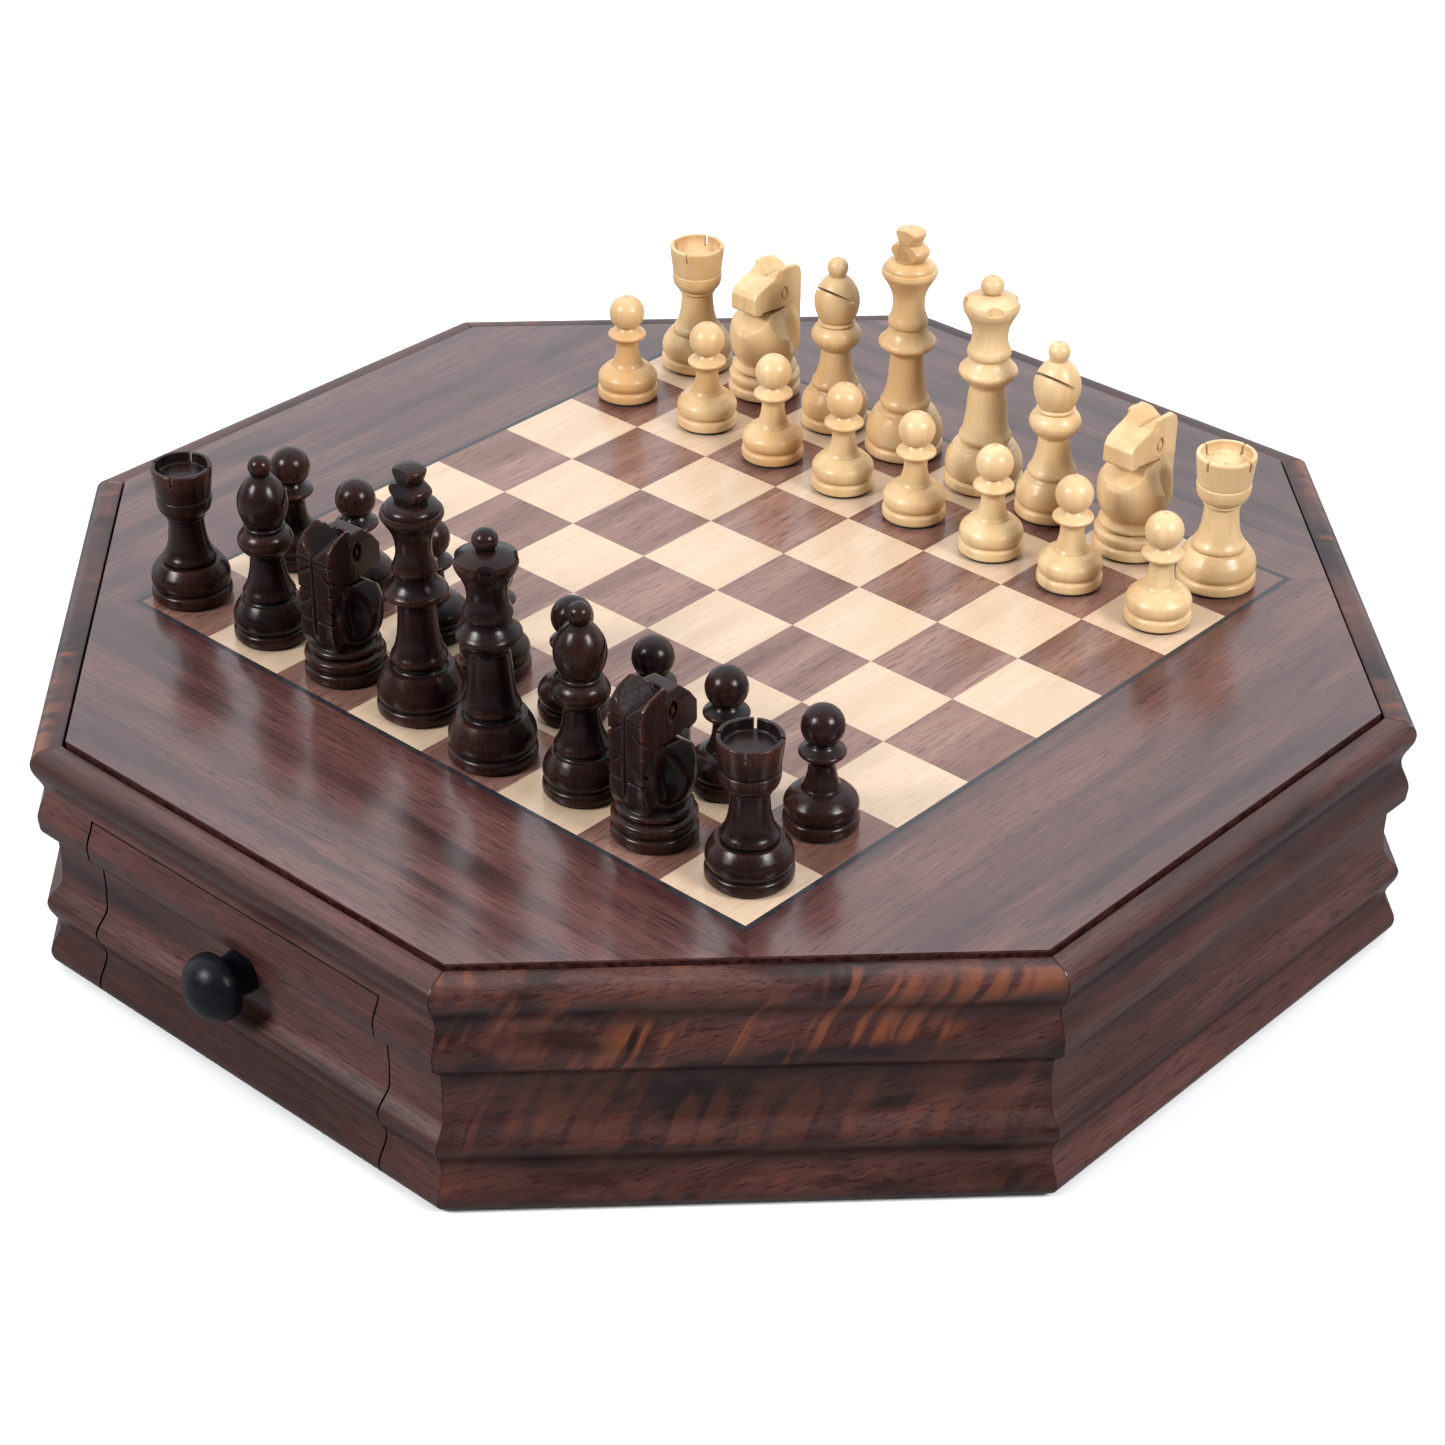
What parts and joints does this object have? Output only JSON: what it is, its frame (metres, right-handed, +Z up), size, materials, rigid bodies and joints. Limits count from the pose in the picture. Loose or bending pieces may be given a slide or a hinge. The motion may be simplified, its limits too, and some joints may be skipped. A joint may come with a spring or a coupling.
{
  "type": "chess set with board",
  "caption": "Eight-sided walnut chess cabinet with moulded sides, an inlaid board on top, storage drawers with knobs, and a full set of turned and carved wooden pieces.",
  "frame": {"origin": "centre of the case on the surface it stands on", "axes": "+Z up, X along the board's ranks, the dark pieces and the front drawer towards -Y, the light pieces towards +Y"},
  "size_m": [0.4514, 0.479, 0.1756],
  "materials": {
    "case_walnut": "satin lacquered walnut moulding",
    "figured_walnut": "satin lacquered figured walnut",
    "panel_edge": "stained edge, satin",
    "border_walnut": "satin lacquered walnut veneer",
    "square_walnut": "satin lacquered walnut veneer",
    "maple": "satin lacquered maple veneer",
    "black_line": "satin dyed stringing",
    "plywood": "matt",
    "boxwood": "satin lacquered boxwood",
    "dark_stained_wood": "gloss lacquered dark stained wood",
    "felt": "felt",
    "knob_black": "satin black",
    "brass": "satin"
  },
  "bodies": {
    "case": {"front_rail": "case_walnut", "back_rail": "case_walnut", "side_rails": "case_walnut", "corner_rails": "figured_walnut", "top_panel": "panel_edge", "border_veneer": "border_walnut", "inlay_line": "black_line", "light_squares": "maple", "dark_squares": "square_walnut", "bottom_board": "plywood", "drawer_runners": "plywood", "drawer_stop": "plywood", "glue_blocks": "plywood", "feet": "felt"},
    "front_drawer": {"front_drawer_face": "case_walnut", "front_drawer_sides": "plywood", "front_drawer_back": "plywood", "front_drawer_bottom": "plywood", "front_drawer_lining": "felt", "front_drawer_knob": "knob_black", "front_drawer_knob_screw": "brass"},
    "back_drawer": {"back_drawer_face": "case_walnut", "back_drawer_sides": "plywood", "back_drawer_back": "plywood", "back_drawer_bottom": "plywood", "back_drawer_lining": "felt", "back_drawer_knob": "knob_black", "back_drawer_knob_screw": "brass"},
    "white_rook_a": {"white_rook_a": "boxwood"},
    "white_knight_b": {"white_knight_b": "boxwood"},
    "white_bishop_c": {"white_bishop_c": "boxwood"},
    "white_queen_d": {"white_queen_d": "boxwood"},
    "white_king_e": {"white_king_e": "boxwood"},
    "white_bishop_f": {"white_bishop_f": "boxwood"},
    "white_knight_g": {"white_knight_g": "boxwood"},
    "white_rook_h": {"white_rook_h": "boxwood"},
    "white_pawn_a": {"white_pawn_a": "boxwood"},
    "white_pawn_b": {"white_pawn_b": "boxwood"},
    "white_pawn_c": {"white_pawn_c": "boxwood"},
    "white_pawn_d": {"white_pawn_d": "boxwood"},
    "white_pawn_e": {"white_pawn_e": "boxwood"},
    "white_pawn_f": {"white_pawn_f": "boxwood"},
    "white_pawn_g": {"white_pawn_g": "boxwood"},
    "white_pawn_h": {"white_pawn_h": "boxwood"},
    "black_rook_a": {"black_rook_a": "dark_stained_wood"},
    "black_knight_b": {"black_knight_b": "dark_stained_wood"},
    "black_bishop_c": {"black_bishop_c": "dark_stained_wood"},
    "black_queen_d": {"black_queen_d": "dark_stained_wood"},
    "black_king_e": {"black_king_e": "dark_stained_wood"},
    "black_knight_f": {"black_knight_f": "dark_stained_wood"},
    "black_bishop_g": {"black_bishop_g": "dark_stained_wood"},
    "black_rook_h": {"black_rook_h": "dark_stained_wood"},
    "black_pawn_a": {"black_pawn_a": "dark_stained_wood"},
    "black_pawn_b": {"black_pawn_b": "dark_stained_wood"},
    "black_pawn_c": {"black_pawn_c": "dark_stained_wood"},
    "black_pawn_d": {"black_pawn_d": "dark_stained_wood"},
    "black_pawn_e": {"black_pawn_e": "dark_stained_wood"},
    "black_pawn_f": {"black_pawn_f": "dark_stained_wood"},
    "black_pawn_g": {"black_pawn_g": "dark_stained_wood"},
    "black_pawn_h": {"black_pawn_h": "dark_stained_wood"}
  },
  "joints": [
    {"name": "front_drawer_slide", "type": "slide", "parent": "case", "child": "front_drawer", "axis": [0, -1, 0], "range_m": [0, 0.15]},
    {"name": "back_drawer_slide", "type": "slide", "parent": "case", "child": "back_drawer", "axis": [0, 1, 0], "range_m": [0, 0.15]},
    {"name": "white_rook_a_lift", "type": "slide", "parent": "case", "child": "white_rook_a", "axis": [0, 0, 1], "range_m": [0, 0.1]},
    {"name": "white_knight_b_lift", "type": "slide", "parent": "case", "child": "white_knight_b", "axis": [0, 0, 1], "range_m": [0, 0.1]},
    {"name": "white_bishop_c_lift", "type": "slide", "parent": "case", "child": "white_bishop_c", "axis": [0, 0, 1], "range_m": [0, 0.1]},
    {"name": "white_queen_d_lift", "type": "slide", "parent": "case", "child": "white_queen_d", "axis": [0, 0, 1], "range_m": [0, 0.1]},
    {"name": "white_king_e_lift", "type": "slide", "parent": "case", "child": "white_king_e", "axis": [0, 0, 1], "range_m": [0, 0.1]},
    {"name": "white_bishop_f_lift", "type": "slide", "parent": "case", "child": "white_bishop_f", "axis": [0, 0, 1], "range_m": [0, 0.1]},
    {"name": "white_knight_g_lift", "type": "slide", "parent": "case", "child": "white_knight_g", "axis": [0, 0, 1], "range_m": [0, 0.1]},
    {"name": "white_rook_h_lift", "type": "slide", "parent": "case", "child": "white_rook_h", "axis": [0, 0, 1], "range_m": [0, 0.1]},
    {"name": "white_pawn_a_lift", "type": "slide", "parent": "case", "child": "white_pawn_a", "axis": [0, 0, 1], "range_m": [0, 0.1]},
    {"name": "white_pawn_b_lift", "type": "slide", "parent": "case", "child": "white_pawn_b", "axis": [0, 0, 1], "range_m": [0, 0.1]},
    {"name": "white_pawn_c_lift", "type": "slide", "parent": "case", "child": "white_pawn_c", "axis": [0, 0, 1], "range_m": [0, 0.1]},
    {"name": "white_pawn_d_lift", "type": "slide", "parent": "case", "child": "white_pawn_d", "axis": [0, 0, 1], "range_m": [0, 0.1]},
    {"name": "white_pawn_e_lift", "type": "slide", "parent": "case", "child": "white_pawn_e", "axis": [0, 0, 1], "range_m": [0, 0.1]},
    {"name": "white_pawn_f_lift", "type": "slide", "parent": "case", "child": "white_pawn_f", "axis": [0, 0, 1], "range_m": [0, 0.1]},
    {"name": "white_pawn_g_lift", "type": "slide", "parent": "case", "child": "white_pawn_g", "axis": [0, 0, 1], "range_m": [0, 0.1]},
    {"name": "white_pawn_h_lift", "type": "slide", "parent": "case", "child": "white_pawn_h", "axis": [0, 0, 1], "range_m": [0, 0.1]},
    {"name": "black_rook_a_lift", "type": "slide", "parent": "case", "child": "black_rook_a", "axis": [0, 0, 1], "range_m": [0, 0.1]},
    {"name": "black_knight_b_lift", "type": "slide", "parent": "case", "child": "black_knight_b", "axis": [0, 0, 1], "range_m": [0, 0.1]},
    {"name": "black_bishop_c_lift", "type": "slide", "parent": "case", "child": "black_bishop_c", "axis": [0, 0, 1], "range_m": [0, 0.1]},
    {"name": "black_queen_d_lift", "type": "slide", "parent": "case", "child": "black_queen_d", "axis": [0, 0, 1], "range_m": [0, 0.1]},
    {"name": "black_king_e_lift", "type": "slide", "parent": "case", "child": "black_king_e", "axis": [0, 0, 1], "range_m": [0, 0.1]},
    {"name": "black_knight_f_lift", "type": "slide", "parent": "case", "child": "black_knight_f", "axis": [0, 0, 1], "range_m": [0, 0.1]},
    {"name": "black_bishop_g_lift", "type": "slide", "parent": "case", "child": "black_bishop_g", "axis": [0, 0, 1], "range_m": [0, 0.1]},
    {"name": "black_rook_h_lift", "type": "slide", "parent": "case", "child": "black_rook_h", "axis": [0, 0, 1], "range_m": [0, 0.1]},
    {"name": "black_pawn_a_lift", "type": "slide", "parent": "case", "child": "black_pawn_a", "axis": [0, 0, 1], "range_m": [0, 0.1]},
    {"name": "black_pawn_b_lift", "type": "slide", "parent": "case", "child": "black_pawn_b", "axis": [0, 0, 1], "range_m": [0, 0.1]},
    {"name": "black_pawn_c_lift", "type": "slide", "parent": "case", "child": "black_pawn_c", "axis": [0, 0, 1], "range_m": [0, 0.1]},
    {"name": "black_pawn_d_lift", "type": "slide", "parent": "case", "child": "black_pawn_d", "axis": [0, 0, 1], "range_m": [0, 0.1]},
    {"name": "black_pawn_e_lift", "type": "slide", "parent": "case", "child": "black_pawn_e", "axis": [0, 0, 1], "range_m": [0, 0.1]},
    {"name": "black_pawn_f_lift", "type": "slide", "parent": "case", "child": "black_pawn_f", "axis": [0, 0, 1], "range_m": [0, 0.1]},
    {"name": "black_pawn_g_lift", "type": "slide", "parent": "case", "child": "black_pawn_g", "axis": [0, 0, 1], "range_m": [0, 0.1]},
    {"name": "black_pawn_h_lift", "type": "slide", "parent": "case", "child": "black_pawn_h", "axis": [0, 0, 1], "range_m": [0, 0.1]}
  ]
}
